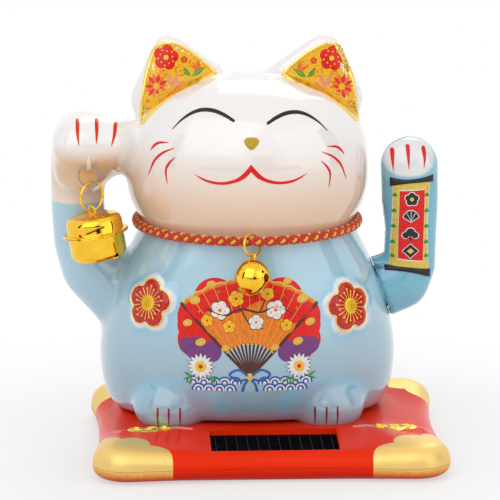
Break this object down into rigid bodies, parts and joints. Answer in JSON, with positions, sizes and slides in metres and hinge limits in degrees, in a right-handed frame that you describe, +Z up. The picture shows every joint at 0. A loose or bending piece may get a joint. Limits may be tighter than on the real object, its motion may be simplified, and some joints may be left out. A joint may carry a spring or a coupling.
{
  "type": "waving cat figurine",
  "caption": "Glazed ceramic cat with a raised paw holding a bell, a bell on its braided collar and a solar pendulum arm that waves, on a cushion-shaped moulded base",
  "frame": {"origin": "Middle of the base's underside, on the surface that the object stands on", "axes": "+X to the viewer's right when facing the cat, +Y to the cat's back, +Z up"},
  "size_m": [0.145, 0.1188, 0.153],
  "materials": {
    "cat_glaze": "gloss",
    "braid": "matte",
    "gilt": "polished",
    "base_red": "gloss",
    "base_under": "gloss",
    "steel": "satin",
    "cell": "gloss",
    "board": "satin",
    "chip": "gloss",
    "can": "satin",
    "bobbin": "matte",
    "copper": "satin",
    "red_wire": "matte",
    "black_wire": "matte",
    "white_plastic": "matte",
    "ferrite": "satin",
    "arm_plastic": "gloss",
    "foil": "gloss"
  },
  "bodies": {
    "body": {"ceramic_cat": "cat_glaze", "collar_cord": "braid", "collar_crimp": "gilt", "base_upper_shell": "base_red", "base_lower_shell": "base_under", "base_screws": "steel", "solar_cell": "cell", "circuit_board": "board", "board_screws": "steel", "driver_chip": "chip", "capacitor": "can", "coil_bobbin": "bobbin", "drive_coil": "copper", "lead_red": "red_wire", "lead_black": "black_wire", "pivot_bracket": "white_plastic", "bracket_screws": "steel", "pivot_pin": "steel"},
    "arm": {"swing_lever": "white_plastic", "magnet": "ferrite", "counterweight": "ferrite", "arm_front_shell": "arm_plastic", "arm_back_shell": "arm_plastic", "arm_screw": "steel", "scroll_label": "foil"},
    "neck_ring": {"collar_ring": "gilt"},
    "neck_bell": {"collar_bell_top": "gilt", "collar_bell_bottom": "gilt"},
    "neck_pellet": {"collar_bell_pellet": "steel"},
    "split_ring": {"paw_ring": "steel"},
    "paw_bell": {"paw_loop": "gilt", "paw_bell_cap": "gilt", "paw_bell_cup": "gilt"},
    "paw_pellet": {"paw_bell_pellet": "steel"}
  },
  "joints": [
    {"name": "arm_swing", "type": "hinge", "parent": "body", "child": "arm", "pos_m": [-0.0064, 0.016, 0.0568], "axis": [1, 0, 0], "range_deg": [-18, 18]},
    {"name": "neck_ring_swing", "type": "hinge", "parent": "body", "child": "neck_ring", "pos_m": [-0.0064, -0.0252, 0.0828], "axis": [-1, 0, 0], "range_deg": [0, 12]},
    {"name": "neck_bell_swing", "type": "hinge", "parent": "neck_ring", "child": "neck_bell", "pos_m": [-0.0064, -0.02702, 0.07751], "axis": [-1, 0, 0], "range_deg": [0, 30]},
    {"name": "neck_pellet_rattle", "type": "slide", "parent": "neck_bell", "child": "neck_pellet", "axis": [0, 0.4695, 0.8829], "range_m": [0, 0.003]},
    {"name": "split_ring_swing", "type": "hinge", "parent": "body", "child": "split_ring", "pos_m": [-0.0654, -0.008, 0.1077], "axis": [-1, 0, 0], "range_deg": [0, 35]},
    {"name": "paw_bell_swing", "type": "hinge", "parent": "split_ring", "child": "paw_bell", "pos_m": [-0.06445, -0.008, 0.10194], "axis": [0, 1, 0], "range_deg": [-6, 15]},
    {"name": "paw_pellet_rattle", "type": "slide", "parent": "paw_bell", "child": "paw_pellet", "axis": [-0.1564, 0, 0.9877], "range_m": [0, 0.006]}
  ]
}
